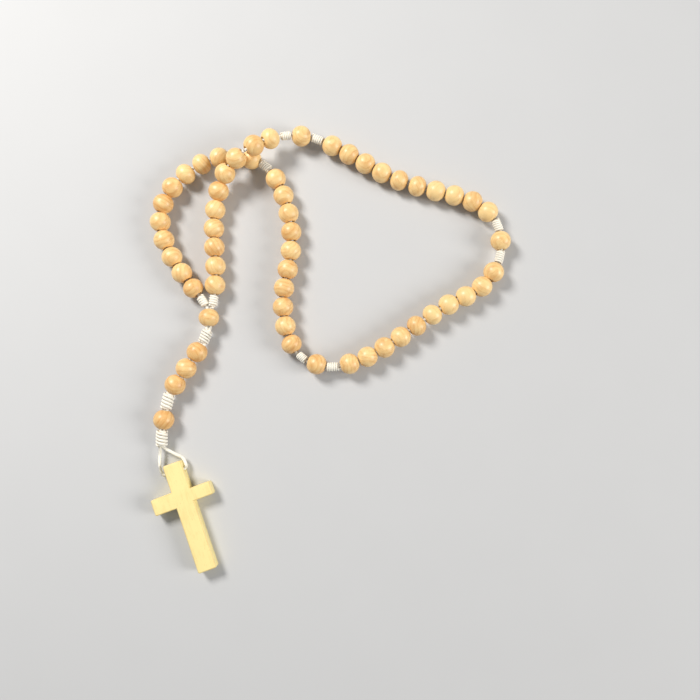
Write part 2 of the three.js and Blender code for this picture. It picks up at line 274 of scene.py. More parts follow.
class StageSettings(bpy.types.PropertyGroup):
    """The camera, the table and the light."""

    camera_height: size_of("Camera height", "Above the table", 263.4)
    camera_tilt: FloatProperty(
        name="Camera tilt",
        description="Of the camera from straight down",
        default=math.radians(5.1),
        subtype="ANGLE",
    )
    lens: FloatProperty(
        name="Lens", description="Focal length on a 36 mm wide film", default=34.97
    )
    table: colour_of("Table", "Colour of the table top", (0.56, 0.565, 0.57))
    key: FloatProperty(
        name="Key light", description="Strength of the window light, in watts", default=4.6
    )
    side: FloatProperty(
        name="Side light", description="Strength of the light from the right, in watts", default=7.0
    )
    fill: FloatProperty(
        name="Sky", description="Strength of the light from all round", default=0.3
    )


# ---- stringing the cord ----


def smooth_points(points, samples):
    """Points on a smooth curve through the given ones, the given ones among them."""
    before = points[0] * 2 - points[1]
    after = points[-1] * 2 - points[-2]
    ends = [before, *points, after]
    smooth = []
    for place in range(len(points) - 1):
        a, b, c, d = ends[place:place + 4]
        leave = (c - a) / 2
        arrive = (d - b) / 2
        for sample in range(samples):
            t = sample / samples
            smooth.append(
                b
                + leave * t
                + (c * 3 - b * 3 - leave * 2 - arrive) * t ** 2
                + (b * 2 - c * 2 + leave + arrive) * t ** 3
            )
    smooth.append(points[-1].copy())
    return smooth


def step_links(path, lengths):
    """Steps straight links along a path. Gives the stations, or None where the path is short."""
    stations = [path[0].copy()]
    further = 1
    for length in lengths:
        here = stations[-1]
        while further < len(path) and (path[further] - here).length < length:
            further += 1
        if further == len(path):
            return None
        near, far = path[further - 1], path[further]
        for _ in range(STATION_HALVINGS):
            middle = near.lerp(far, 0.5)
            if (middle - here).length < length:
                near = middle
            else:
                far = middle
        stations.append(far.copy())
    return stations


def string_on_route(route, lengths, bead_diameter):
    """Scales a route in plan until the links fill it, and gives their stations."""

    def path(scale):
        points = [
            Vector((x * scale, y * scale, bead_diameter * (0.5 + lift))) for x, y, lift in route
        ]
        return smooth_points(points, ROUTE_SAMPLES)

    low, high = ROUTE_SCALES
    for _ in range(SCALE_HALVINGS):
        scale = (low + high) / 2
        if step_links(path(scale), lengths):
            high = scale
        else:
            low = scale
    return step_links(path(high), lengths)


class Link:
    """One straight stretch of the string: a bead, a knot or bare cord."""

    def __init__(self, kind, length, name="", size=(0, 0)):
        self.kind = kind
        self.length = length
        self.name = name
        self.size = size  # length and diameter of a knot
        self.start = None
        self.end = None

    def place(self, share=0.5):
        """The link's own frame: Z along it, Y up, with its origin at that share of it."""
        along = (self.end - self.start).normalized()
        up = (UP - along * along.dot(UP)).normalized()
        turned = Matrix((up.cross(along), up, along)).transposed().to_4x4()
        return Matrix.Translation(self.start.lerp(self.end, share)) @ turned


def set_on_route(links, route, bead_diameter, origin):
    stations = string_on_route(route, [link.length for link in links], bead_diameter)
    for link, start, end in zip(links, stations, stations[1:]):
        link.start = start + origin
        link.end = end + origin
    return links


def bead_name(decade, place):
    return f"decade_{decade}_bead_{place:02d}"


def loop_links(beads, cord):
    bead_pitch = beads.length + BEAD_PLAY

    def knot(name, length):
        size = (length, cord.loop_knot_diameter)
        return Link("knot", length + KNOT_PLAY, name, size)

    links = [Link("cord", FORK_LEAD), knot("knot_fork_left", cord.fork_knot_length)]
    for decade in range(1, DECADES + 1):
        for place in range(1, BEADS_PER_DECADE + 1):
            links.append(Link("bead", bead_pitch, bead_name(decade, place)))
            if decade == DECADES and place == SLACK_AFTER:
                links.append(Link("cord", CROSSING_SLACK))
        if decade < DECADES:
            links += [
                knot(f"knot_before_our_father_{decade}", cord.loop_knot_length),
                Link("bead", bead_pitch, f"our_father_bead_{decade}"),
                knot(f"knot_after_our_father_{decade}", cord.loop_knot_length),
            ]
    links += [knot("knot_fork_right", cord.fork_knot_length), Link("cord", FORK_LEAD)]
    return links


def pendant_links(beads, cord):
    bead_pitch = beads.length + BEAD_PLAY
    knots = [
        Link(
            "knot",
            cord.pendant_knot_length + KNOT_PLAY,
            f"knot_pendant_{place}",
            (cord.pendant_knot_length, cord.pendant_knot_diameter),
        )
        for place in ("top", "middle", "bottom")
    ]
    three = Link("bead", PENDANT_BEADS * bead_pitch, "pendant_hail_mary_beads")
    last = Link("bead", bead_pitch, "pendant_our_father_bead")
    return [knots[0], three, knots[1], last, knots[2]]


class Layout:
    """Where every link of the rosary lies."""

    def __init__(self, scene):
        beads, cord = scene.rosary_beads, scene.rosary_cord
        low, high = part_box("centre_bead")
        middle = (Vector(low) + Vector(high)) / 2
        self.centre = middle
        self.origin = middle - Vector((0, 0, beads.diameter / 2))
        route = (LOOP_ROUTE, beads.diameter, self.origin)
        self.loop = set_on_route(loop_links(beads, cord), *route)
        route = (PENDANT_ROUTE, beads.diameter, self.origin)
        self.pendant = set_on_route(pendant_links(beads, cord), *route)
        self.named = {link.name: link for link in self.loop + self.pendant if link.name}
        self.bodies = {
            node: body
            for body, nodes in frame["record"]["behaviour"]["bodies"].items()
            for node in nodes
        }
        self.check()

    def check(self):
        """The beads have to lie where the frame has them."""
        for name, link in self.named.items():
            if link.kind != "bead":
                continue
            low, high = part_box(name)
            gap = ((Vector(low) + Vector(high)) / 2 - link.start.lerp(link.end, 0.5)).length
            if gap > PLACE_TOLERANCE:
                raise RuntimeError(f"{name} is {gap / MM:.2f} mm from its place in the frame")

    def body_of_knot(self, name):
        """A knot moves with the Our Father bead beside it, and otherwise with the loop's base."""
        if name.startswith("knot_pendant"):
            return "pendant"
        if name.startswith("knot_fork"):
            return "loop_base"
        carrier = {"1": "loop_base", "2": "bight_near", "3": "bight_far", "4": "bight_near"}
        return carrier[name[-1]]

    def cross_place(self):
        """The cross's own frame: X along the arms, Y up the upright, Z off the table."""
        knot_end = self.pendant[-1].end
        hole = Vector((knot_end.x, knot_end.y, 0)) + Vector((*CROSS_FROM_KNOT, 0))
        return Matrix.Translation(hole) @ Matrix.Rotation(CROSS_TURN, 4, "Z")


# ---- making meshes ----


def mesh_of(shape, name):
    """Ends the work on a bmesh and makes it a mesh."""
    mesh = bpy.data.meshes.new(name)
    shape.to_mesh(mesh)
    shape.free()
    return mesh


def set_out(name, data):
    """Puts an object in the scene."""
    made = bpy.data.objects.new(name, data)
    bpy.context.scene.collection.objects.link(made)
    return made


def new_piece(shape, name, material):
    """Makes a mesh object from a bmesh that already lies in its place."""
    mesh = mesh_of(shape, name)
    piece = set_out(name, mesh)
    mesh.materials.append(material)
    mesh.polygons.foreach_set("use_smooth", [True] * len(mesh.polygons))
    return piece


def turned_round(outline, sides, merge=0):
    """A solid about Z, from an outline of radii and heights.

    The outline closes on itself, or, with points to merge, ends on the axis both ways.
    """
    shape = bmesh.new()
    vertices = [shape.verts.new((radius, 0, height)) for radius, height in outline]
    line = vertices if merge else [*vertices, vertices[0]]
    edges = [shape.edges.new(pair) for pair in zip(line, line[1:])]
    bmesh.ops.spin(
        shape,
        geom=vertices + edges,
        cent=(0, 0, 0),
        axis=(0, 0, 1),
        dvec=(0, 0, 0),
        angle=math.tau,
        steps=sides,
        use_merge=True,
    )
    if merge:
        bmesh.ops.remove_doubles(shape, verts=shape.verts, dist=merge)
    bmesh.ops.recalc_face_normals(shape, faces=shape.faces)
    return shape


def write_grain(shape, turn, shift, tone):
    """Each vertex keeps its place in the plank it was cut from, in millimetres, and the tone."""
    grain = shape.verts.layers.float_vector.new("grain")
    tones = shape.verts.layers.float.new("tone")
    for vertex in shape.verts:
        vertex[grain] = turn @ (vertex.co / MM) + shift
        vertex[tones] = tone


def tube(path, radius):
    """A round cord along a path, with domed ends. It keeps how far along and how far round."""
    shape = bmesh.new()
    strand = shape.verts.layers.float_vector.new("strand")
    lengths = [0.0]
    for here, there in zip(path, path[1:]):
        lengths.append(lengths[-1] + (there - here).length)
    tangents = [
        (path[min(place + 1, len(path) - 1)] - path[max(place - 1, 0)]).normalized()
        for place in range(len(path))
    ]
    dome = [(0.35, -0.92), (0.78, -0.6)]  # share of the radius, and step outwards
    rings = [(path[0] + tangents[0] * radius * out, tangents[0], wide, 0.0) for wide, out in dome]
    rings += [(path[k], tangents[k], 1.0, lengths[k]) for k in range(len(path))]
    rings += [
        (path[-1] - tangents[-1] * radius * out, tangents[-1], wide, lengths[-1])
        for wide, out in reversed(dome)
    ]
    side = tangents[0].cross(UP if abs(tangents[0].z) < 0.9 else Vector((1, 0, 0))).normalized()
    made = bmesh.ops.create_circle(shape, cap_ends=True, radius=1, segments=CORD_SIDES)
    ring = list(made["verts"])
    angles = [math.atan2(vertex.co.y, vertex.co.x) for vertex in ring]
    face = shape.faces[:][0]
    for index, (middle, tangent, wide, far) in enumerate(rings):
        side = (side - tangent * side.dot(tangent)).normalized()
        across = tangent.cross(side)
        if index > 0:
            old = list(face.verts)
            order = [ring.index(vertex) for vertex in old]
            made = bmesh.ops.extrude_face_region(shape, geom=[face])
            face = next(part for part in made["geom"] if isinstance(part, bmesh.types.BMFace))
            new = {}
            for edge in (edge for vertex in old for edge in vertex.link_edges):
                for vertex, other in (edge.verts, reversed(edge.verts)):
                    if vertex in old and other in face.verts:
                        new[vertex] = other
            ring_new = [None] * CORD_SIDES
            for vertex, place in zip(old, order):
                ring_new[place] = new[vertex]
            ring = ring_new
        for vertex, angle in zip(ring, angles):
            out = side * math.cos(angle) + across * math.sin(angle)
            vertex.co = middle + out * radius * wide
            vertex[strand] = (far / MM, math.cos(angle), math.sin(angle))
    bmesh.ops.recalc_face_normals(shape, faces=shape.faces)
    return shape, lengths[-1]


def coil(length, diameter, wraps, strands, thickness, end_share):
    """A knot of one or two strands of cord wound round, about Z, with slim ends and a core."""
    shape = bmesh.new()
    strand = shape.verts.layers.float_vector.new("strand")
    groove = shape.verts.layers.float.new("groove")
    pitch = length / (wraps + COIL_OVERLAP)
    deep = min(thickness, WRAP_DEPTH * pitch) / 2
    broad = WRAP_BREADTH * pitch
    around = diameter / 2 - deep
    turns = (wraps - strands) / strands + COIL_OVERLAP
    made = bmesh.ops.create_circle(shape, cap_ends=False, radius=1, segments=COIL_SIDES)
    bottom = -length / 2 + broad
    bmesh.ops.transform(
        shape,
        matrix=Matrix.Translation((around, 0, bottom))
        @ Matrix.Diagonal((deep, 1, broad, 1))
        @ Matrix.Rotation(math.pi / 2, 4, "X"),
        verts=made["verts"],
    )
    first = list(made["verts"])
    ring_edges = list({edge for vertex in first for edge in vertex.link_edges})
    bmesh.ops.spin(
        shape,
        geom=first + ring_edges,
        cent=(0, 0, 0),
        axis=(0, 0, 1),
        dvec=(0, 0, (length - 2 * broad) / (turns * COIL_STEPS)),
        angle=math.tau * turns,
        steps=round(turns * COIL_STEPS),
        use_merge=False,
    )
    rise = (length - 2 * broad) / turns
    for vertex in shape.verts:
        turn = math.atan2(vertex.co.y, vertex.co.x) / math.tau
        whole = round((vertex.co.z - bottom) / rise - turn)
        middle = bottom + (turn + whole) * rise
        radial = math.hypot(vertex.co.x, vertex.co.y)
        angle = math.atan2((vertex.co.z - middle) / broad, (radial - around) / deep)
        along = (turn + whole) * math.tau * around / MM
        vertex[strand] = (along, math.cos(angle), math.sin(angle))
        # How far a point lies from its wrap's outer line; the finish darkens the hollows between wraps by
        # it, as painted shade.
        vertex[groove] = 1 - max(0.0, math.cos(angle))
        vertex.co.x = -vertex.co.x
    bmesh.ops.holes_fill(shape, edges=shape.edges, sides=0)
    if strands == 2:
        parts = shape.verts[:] + shape.edges[:] + shape.faces[:]
        copy = bmesh.ops.duplicate(shape, geom=parts)["geom"]
        verts = [part for part in copy if isinstance(part, bmesh.types.BMVert)]
        half_turn = Matrix.Rotation(math.pi, 3, "Z")
        bmesh.ops.rotate(shape, cent=(0, 0, 0), matrix=half_turn, verts=verts)
    core = [
        (CORE_TIP, -length / 2 + CORE_END),
        (around * CORE_SLIM, -length / 2 + CORE_END),
        (around, -length / 2 + broad),
        (around, length / 2 - broad),
        (around * CORE_SLIM, length / 2 - CORE_END),
        (CORE_TIP, length / 2 - CORE_END),
    ]
    inner = mesh_of(turned_round(core, CORE_SIDES, 10 * CORE_TIP), "core")
    shape.from_mesh(inner)
    bpy.data.meshes.remove(inner)
    reach = SLIM_REACH * pitch
    for vertex in shape.verts:
        near_end = max(0.0, (abs(vertex.co.z) - length / 2 + reach) / reach)
        share = 1 - (1 - end_share) * near_end ** 2
        vertex.co.x *= share
        vertex.co.y *= share
    bmesh.ops.recalc_face_normals(shape, faces=shape.faces)
    return shape


def bead_shape(beads, dice, by_fold):
    """A turned bead about Z, with eased rims. One beside a fold leaves room to bend."""
    radius = beads.diameter / 2 * dice.uniform(*WIDTH_SPREAD)
    half = beads.length / 2 * dice.uniform(*LENGTH_SPREAD)
    end = math.acos((beads.bore / 2 + RIM_EASE) / radius)
    top = half * math.sin(end) * FOLD_LENGTH if by_fold else half
    fullness = 1.0 if by_fold else FULLNESS
    outline = [
        (radius * math.cos(turn) ** fullness, top * math.sin(turn) / math.sin(end))
        for turn in (end * (step / BEAD_POINTS - 1) for step in range(2 * BEAD_POINTS + 1))
    ]
    rim = outline[-1][0]
    eased = [
        (rim - RIM_EASE * math.sin(turn), top - RIM_DEPTH * RIM_EASE * (1 - math.cos(turn)))
        for turn in (math.radians(30), math.radians(60), math.radians(90))
    ]
    outline += eased + [(radius, -height) for radius, height in reversed(eased)]
    shape = turned_round(outline, BEAD_SIDES)
    lean = dice.uniform(0, math.tau)
    for vertex in shape.verts:
        around = math.atan2(vertex.co.y, vertex.co.x)
        swell = 1 - OUT_OF_ROUND * (1 + math.cos(2 * around + lean))
        vertex.co.x *= swell
        vertex.co.y *= swell
    return shape


def ease_edges(shape, edges, width, segments):
    """Rounds off edges of a bmesh."""
    bmesh.ops.bevel(
        shape,
        geom=edges,
        offset=width,
        offset_type="OFFSET",
        segments=segments,
        profile=0.5,
        affect="EDGES",
        material=-1,
    )


def cross_shape(cross):
    """The cross on its back: X along the arms, Y up the upright from the middle of the hole."""
    side = cross.upright / 2
    left_tip = -(cross.span + cross.left_extra) / 2
    right_tip = (cross.span - cross.left_extra) / 2
    top = cross.hole_drop
    foot = cross.hole_drop - cross.height
    arms = cross.hole_drop - cross.arm_drop
    left = cross.left_arm / 2
    right = cross.right_arm / 2
    outline = (
        (-side, top), (-side, arms + left), (left_tip, arms + left), (left_tip, arms - left),
        (-side, arms - left), (-side, foot), (side, foot), (side, arms - right),
        (right_tip, arms - right), (right_tip, arms + right), (side, arms + right), (side, top),
    )
    shape = bmesh.new()
    corners = [shape.verts.new((x, y, 0)) for x, y in outline]
    flat = shape.faces.new(corners)
    made = bmesh.ops.extrude_face_region(shape, geom=[flat])
    raised = [part for part in made["geom"] if isinstance(part, bmesh.types.BMVert)]
    bmesh.ops.translate(shape, vec=(0, 0, CROSS_THICKNESS), verts=raised)
    bmesh.ops.recalc_face_normals(shape, faces=shape.faces)
    upright_edges = [
        edge
        for edge in shape.edges
        if abs(edge.verts[0].co.z - edge.verts[1].co.z) > CROSS_THICKNESS / 2
        and edge.is_convex
    ]
    ease_edges(shape, upright_edges, cross.corner, CORNER_SEGMENTS)
    rims = [
        edge
        for edge in shape.edges
        if abs(edge.verts[0].co.z - edge.verts[1].co.z) < CROSS_THICKNESS / 20
        and not all(abs(face.normal.z) < 0.5 for face in edge.link_faces)
    ]
    ease_edges(shape, rims, cross.edge, EDGE_SEGMENTS)
    return shape


# ---- finishes ----


class Value:
    """A node's output that takes part in sums as a number does. Each sign adds its Math node."""

    def __init__(self, finish, socket):
        self.finish = finish
        self.socket = socket

    def maths(self, operation, *terms):
        return self.finish.node("ShaderNodeMath", {"operation": operation}, dict(enumerate(terms)))

    def __add__(self, other):
        return self.maths("ADD", self, other)

    __radd__ = __add__

    def __sub__(self, other):
        return self.maths("SUBTRACT", self, other)

    def __rsub__(self, other):
        return self.maths("SUBTRACT", other, self)

    def __mul__(self, other):
        return self.maths("MULTIPLY", self, other)

    __rmul__ = __mul__

    def __truediv__(self, other):
        return self.maths("DIVIDE", self, other)

    def __rtruediv__(self, other):
        return self.maths("DIVIDE", other, self)

    def __pow__(self, other):
        return self.maths("POWER", self, other)


class Finish:
    """One material, built up node by node."""

    def __init__(self, name):
        self.material = bpy.data.materials.new(name)
        self.material.use_nodes = True
        self.tree = self.material.node_tree
        self.tree.nodes.clear()

    def node(self, kind, settings=None, sockets=None, output=0):
        """Adds a node: its settings first, then the values or links of its sockets."""
        made = self.tree.nodes.new(kind)
        for key, value in (settings or {}).items():
            if key == "stops":
                ramp = made.color_ramp
                while len(ramp.elements) < len(value):
                    ramp.elements.new(0.5)
                for element, (place, colour) in zip(ramp.elements, value):
                    element.position = place
                    element.color = (*colour, 1)
            else:
                setattr(made, key, value)
        for key, value in (sockets or {}).items():
            if isinstance(value, Value):
                self.tree.links.new(value.socket, made.inputs[key])
            else:
                made.inputs[key].default_value = value
        return Value(self, made.outputs[output]) if made.outputs else None

    def attribute(self, name, output="Vector"):
        settings = {"attribute_type": "GEOMETRY", "attribute_name": name}
        return self.node("ShaderNodeAttribute", settings, output=output)

    def colour_mix(self, share, first, second, blend="MIX"):
        first, second = (
            value if isinstance(value, Value) else (*value, 1) for value in (first, second)
        )
        settings = {"data_type": "RGBA", "blend_type": blend, "clamp_factor": True}
        return self.node("ShaderNodeMix", settings, {0: share, 6: first, 7: second}, output=2)

    def stretched(self, vector, scale):
        return self.node(
            "ShaderNodeVectorMath", {"operation": "MULTIPLY"}, {0: vector, 1: scale}
        )

    def split(self, vector):
        """The three numbers of a vector."""
        parted = self.node("ShaderNodeSeparateXYZ", {}, {0: vector}).socket.node
        return [Value(self, part) for part in parted.outputs]

    def noise(self, vector, scale=1.0, detail=2.0, roughness=0.5):
        sockets = {"Vector": vector, "Scale": scale, "Detail": detail, "Roughness": roughness}
        return self.node("ShaderNodeTexNoise", {}, sockets)

    def eased(self, value, low, high, out_low=0.0, out_high=1.0):
        sockets = {0: value, 1: low, 2: high, 3: out_low, 4: out_high}
        return self.node("ShaderNodeMapRange", {"interpolation_type": "SMOOTHSTEP"}, sockets)

    def surface(self, sockets):
        shader = self.node("ShaderNodeBsdfPrincipled", {}, sockets)
        self.node("ShaderNodeOutputMaterial", {}, {"Surface": shader})
        return self.material


def wood_finish(name, pale, deep, ring_width, ring_share, figure, gloss):
    """Turned or planed wood with rings, fibres, pores and a satin coat."""
    finish = Finish(name)
    grain = finish.attribute("grain")
    tone = finish.attribute("tone", "Fac")

    def streaks(across, along, **details):
        """A pattern that changes so often in a millimetre across the grain and along it."""
        return finish.noise(finish.stretched(grain, (across, across, along)), **details)

    ring_warp = 2.2  # rings by which the pattern wanders
    summer_starts, summer_ends = 0.35, 0.93  # shares of a ring's width
    middle = 0.5  # of a noise
    fibre_share, fine_share = 0.6, 0.3
    warp = streaks(0.22, 0.05)
    x, y, _ = finish.split(grain)
    from_pith = (x * x + y * y) ** 0.5
    ring = from_pith / ring_width + warp * ring_warp
    saw = ring.maths("FRACT", ring)
    summer = finish.eased(saw, summer_starts, summer_ends) * finish.eased(
        saw, summer_ends, 1.0, 1.0, 0.0
    )
    fibre = streaks(3.2, 0.22, detail=3.0, roughness=0.6)
    fine = streaks(9.0, 0.5, roughness=0.6)
    pores = finish.eased(streaks(6.0, 0.7, scale=1.3, detail=1.0), 0.66, 0.74)
    cloud = streaks(0.35, 0.2)
    deepness = (
        summer * ring_share
        + (fibre - middle) * fibre_share
        + (fine - middle) * fine_share
        + (cloud - middle) * figure
        + tone
    )
    colour = finish.colour_mix(deepness, pale, deep)
    darker = tuple(channel * 0.55 for channel in deep)
    colour = finish.colour_mix(pores * 0.35, colour, darker)
    height = fine * 0.5 + fibre * 0.5 - pores * 0.8 - summer * 0.15
    bump = finish.node(
        "ShaderNodeBump", {}, {"Strength": 0.22, "Distance": 0.06 * MM, "Height": height}
    )
    return finish.surface(
        {
            "Base Color": colour,
            "Roughness": fine * 0.12 + pores * 0.15 + gloss,
            "Coat Weight": 0.22,
            "Coat Roughness": 0.32,
            "Specular IOR Level": 0.45,
            "Normal": bump,
        }
    )


def cord_finish(name, pale, shade):
    """Soft twisted cord: three plies that wind round each other, with loose fibres."""
    # Besides the fibres and stains, the cord's colour has painted shade between its plies and in the hollows
    # between a knot's wraps.
    finish = Finish(name)
    plies = 3.0
    twist = 3.4  # radians of a ply's pattern to the millimetre
    along, level, upright = finish.split(finish.attribute("strand"))
    around = upright.maths("ARCTAN2", upright, level)
    wound = around * plies + along * twist
    ply = wound.maths("SINE", wound)
    # The ply ridges are painted lighter and the hollows between plies darker: painted shade, besides the
    # bump.
    ridge = finish.eased(ply, -1.0, 0.6)
    # Painted shade in the hollows between a knot's wraps.
    groove = finish.eased(finish.attribute("groove", "Fac"), 0.3, 0.78)
    places = finish.node("ShaderNodeTexCoord", {}, output="Object")
    fluff = finish.noise(finish.stretched(places, (2600, 2600, 2600)), roughness=0.6)
    stain = finish.noise(finish.stretched(places, (260, 260, 260)))
    # Fibres and stains, with painted shade between the plies and between the wraps.
    light = ridge * 0.22 + fluff * 0.4 + (stain - 0.5) * 0.4 - groove * 0.9
    colour = finish.colour_mix(light + 0.62, shade, pale)
    bump = finish.node(
        "ShaderNodeBump",
        {},
        {"Strength": 0.4, "Distance": 0.1 * MM, "Height": ridge * 0.6 + fluff * 0.3},
    )
    return finish.surface(
        {
            "Base Color": colour,
            "Roughness": fluff * 0.1 + 0.82,
            "Sheen Weight": 0.25,
            "Sheen Roughness": 0.5,
            "Normal": bump,
        }
    )


def table_finish(name, colour):
    """A plain matt top, a little uneven in its colour."""
    finish = Finish(name)
    places = finish.node("ShaderNodeTexCoord", {}, output="Object")
    mottle = finish.noise(finish.stretched(places, (40, 40, 40)), detail=3.0)
    paler = tuple(min(1.0, channel * 1.03) for channel in colour)
    return finish.surface(
        {"Base Color": finish.colour_mix(mottle, colour, paler), "Roughness": 0.9}
    )


def shared_finish(name, make, **details):
    """The material of that name, made the first time it is asked for."""
    return bpy.data.materials.get(name) or make(name, **details)


def bead_wood(beads):
    return shared_finish(
        "honey bead wood",
        wood_finish,
        pale=tuple(beads.pale),
        deep=tuple(beads.deep),
        ring_width=1.5,
        ring_share=0.26,
        figure=1.2,
        gloss=0.34,
    )


def cross_wood(cross):
    return shared_finish(
        "pale cross wood",
        wood_finish,
        pale=tuple(cross.pale),
        deep=tuple(cross.deep),
        ring_width=2.6,
        ring_share=0.12,
        figure=1.2,
        gloss=0.42,
    )


def cord_fibre(cord):
    return shared_finish(
        "off-white cord", cord_finish, pale=tuple(cord.pale), shade=tuple(cord.shade)
    )


# ---- cords and knots ----

# The beads on either side of a fold of the cord.
BEAD_BY_FOLD = {
    *(bead_name(decade, place) for decade in (3, 4) for place in (5, 6)),
    *(bead_name(decade, place) for decade, place in ((1, 1), (1, 8), (1, 9), (2, 10), (5, 1))),
    "centre_bead",
}
# The knots beside a fold, each with the share of its link where its middle lies.
KNOT_BY_FOLD = {
    "knot_before_our_father_2": 0.55,
    "knot_after_our_father_4": 0.45,
    "knot_pendant_top": 0.55,
}

LAYOUT = {}


def layout(scene):
    """Where everything lies, worked out the first time it is asked for."""
    if "now" not in LAYOUT:
        LAYOUT["now"] = Layout(scene)
    return LAYOUT["now"]


def tie_knot(plan, cord, link):
    """Winds one knot, round both strands on the pendant, and sets it on its link."""
    length, diameter = link.size
    doubled = link.name.startswith("knot_pendant")
    wraps = FORK_WRAPS if link.name.startswith("knot_fork") else WRAPS
    gain, thick, slim = KNOT_TIGHT if link.name in KNOT_BY_FOLD else KNOT_FREE
    shape = coil(
        length + gain, diameter * thick, wraps, 2 if doubled else 1, cord.diameter, slim
    )
    place = link.place(KNOT_BY_FOLD.get(link.name, 0.5))
    bmesh.ops.transform(shape, matrix=place, verts=shape.verts)
    knot = new_piece(shape, link.name, cord_fibre(cord))
    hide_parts("pendant_cord" if doubled else "loop_cord")
    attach(knot, plan.body_of_knot(link.name))
    return knot


def lay_cord(name, path, cord, node, exit_point):
    """Lays one length of cord along its path."""
    shape, length = tube(path, cord.diameter / 2)
    piece = new_piece(shape, name, cord_fibre(cord))
    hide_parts(node)
    tuple(exit_point)
    return piece


def stations_between(links, first, last):
    """The stations from the start of one named link to the end of another."""
    names = [link.name for link in links]
    chosen = links[names.index(first):names.index(last) + 1]
    return [link.start for link in chosen] + [chosen[-1].end], chosen


def fold_ends(a, b, towards):
    """Points on either side of the line from a to b, the second on the side of towards."""
    middle = a.lerp(b, 0.5)
    line = b - a
    line.z = 0
    out = line.cross(UP).normalized()
    if (towards - middle).dot(out) < 0:
        out.negate()
    return middle - out * FOLD_EASE, middle + out * FOLD_EASE


class ROSARY_OT_camera(bpy.types.Operator):
    """Places the camera above the table, tilted a little towards the loop"""

    bl_idname = "rosary.camera"
    bl_label = "Camera"

    def execute(self, context):
        stage = context.scene.rosary_stage
        centre = layout(context.scene).centre
        lens = bpy.data.cameras.new("camera")
        lens.lens = stage.lens
        lens.sensor_width = FILM_WIDTH
        lens.clip_start = 0.005
        camera = set_out("camera", lens)
        right, up = CAMERA_FROM_CENTRE
        camera.location = (centre.x + right, centre.y + up, stage.camera_height)
        camera.rotation_euler = (stage.camera_tilt, 0, 0)
        context.scene.camera = camera
        return {"FINISHED"}


class ROSARY_OT_loop_cord(bpy.types.Operator):
    """Lays the loop's cord in three stretches that meet at the folds, and ties its knots"""

    bl_idname = "rosary.loop_cord"
    bl_label = "Loop cord and knots"

    def execute(self, context):
        cord = context.scene.rosary_cord
        plan = layout(context.scene)
        knots = {
            link.name: tie_knot(plan, cord, link) for link in plan.loop if link.kind == "knot"
        }
        beside = cord.diameter / 2 + STRAND_GAP
        mouths = {
            side: [plan.centre + Vector((side * beside, y, 0)) for y in (HIDDEN_END, MOUTH)]
            for side in (-1, 1)
        }

        def lay(name, path, chosen, exit_point):
            tied = [knots[link.name] for link in chosen if link.kind == "knot"]
            return lay_cord(name, path, cord, "loop_cord", exit_point)

        stretch, chosen = stations_between(plan.loop, "knot_fork_left", bead_name(2, 10))
        path = smooth_points([*mouths[-1], *stretch], CORD_STEPS)
        left = lay("loop_cord_left", path, chosen, mouths[-1][1])
        first, last = plan.named[bead_name(1, 1)].start, plan.named[bead_name(1, 8)].end
        towards = plan.named[bead_name(1, 5)].start
        start, end = fold_ends(first, last, towards)
        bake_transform(left, "loop_base", "left_arc", start=tuple(start), end=tuple(end))

        stretch, chosen = stations_between(
            plan.loop, "knot_before_our_father_2", "knot_after_our_father_4"
        )
        path = smooth_points(stretch, CORD_STEPS)
        bight = lay("loop_cord_bight", path, chosen, path[0])
        first, last = plan.named[bead_name(3, 5)].end, plan.named[bead_name(4, 6)].start
        start, end = fold_ends(first, last, plan.named["our_father_bead_3"].start)
        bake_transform(bight, "bight_near", "bight_far", start=tuple(start), end=tuple(end))

        stretch, chosen = stations_between(plan.loop, bead_name(5, 1), "knot_fork_right")
        path = smooth_points([*stretch, *reversed(mouths[1])], CORD_STEPS)
        right = lay("loop_cord_right", path, chosen, mouths[1][1])
        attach(right, "loop_base")
        return {"FINISHED"}


class ROSARY_OT_pendant_cord(bpy.types.Operator):
    """Lays the pendant's cord down one side, through the cross and back up, and ties its knots"""

    bl_idname = "rosary.pendant_cord"
    bl_label = "Pendant cord and knots"

    def execute(self, context):
        cord = context.scene.rosary_cord
        plan = layout(context.scene)
        knots = [tie_knot(plan, cord, link) for link in plan.pendant if link.kind == "knot"]
        beside = cord.diameter / 2 + STRAND_GAP
        spine = [
            plan.centre - Vector((0, HIDDEN_END, 0)),
            plan.centre - Vector((0, PENDANT_MOUTH, 0)),
            *[link.start for link in plan.pendant[1:]],
            plan.pendant[-1].end,
        ]
        spine = smooth_points(spine, PENDANT_STEPS)

        def strand(side):
            points = []
            for place, point in enumerate(spine):
                along = spine[min(place + 1, len(spine) - 1)] - spine[max(place - 1, 0)]
                across = UP.cross(along).normalized()
                points.append(point + across * beside * side)
            return points

        cross = plan.cross_place()
        height = Vector((0, 0, CROSS_THICKNESS / 2))
        through = [cross @ (Vector((x, y, 0)) + height) for x, y in CROSS_LOOP]
        path = smooth_points(strand(-1) + through + strand(1)[::-1], PENDANT_STEPS)
        piece = lay_cord(
            "pendant_strands", path, cord, "pendant_cord", path[PENDANT_EXIT]
        )
        mouth = plan.pendant[0].start
        step = Vector((0, SWAY_EASE, 0))
        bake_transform(piece, "loop_base", "pendant", start=tuple(mouth + step), end=tuple(mouth - step))
        return {"FINISHED"}


class ROSARY_OT_beads(bpy.types.Operator):
    """Turns the loop's fifty-four beads and the centre bead, and threads them on the cord"""

    bl_idname = "rosary.beads"
    bl_label = "Loop beads"

    def execute(self, context):
        plan = layout(context.scene)
        centre = Link("bead", 0, "centre_bead")
        centre.start = plan.centre + Vector((0, 1 * MM, 0))
        centre.end = plan.centre - Vector((0, 1 * MM, 0))
        for link in [*plan.loop, centre]:
            if link.kind == "bead":
                turn_bead(context.scene, plan, f"turned_{link.name}", link.name, link.place())
        return {"FINISHED"}


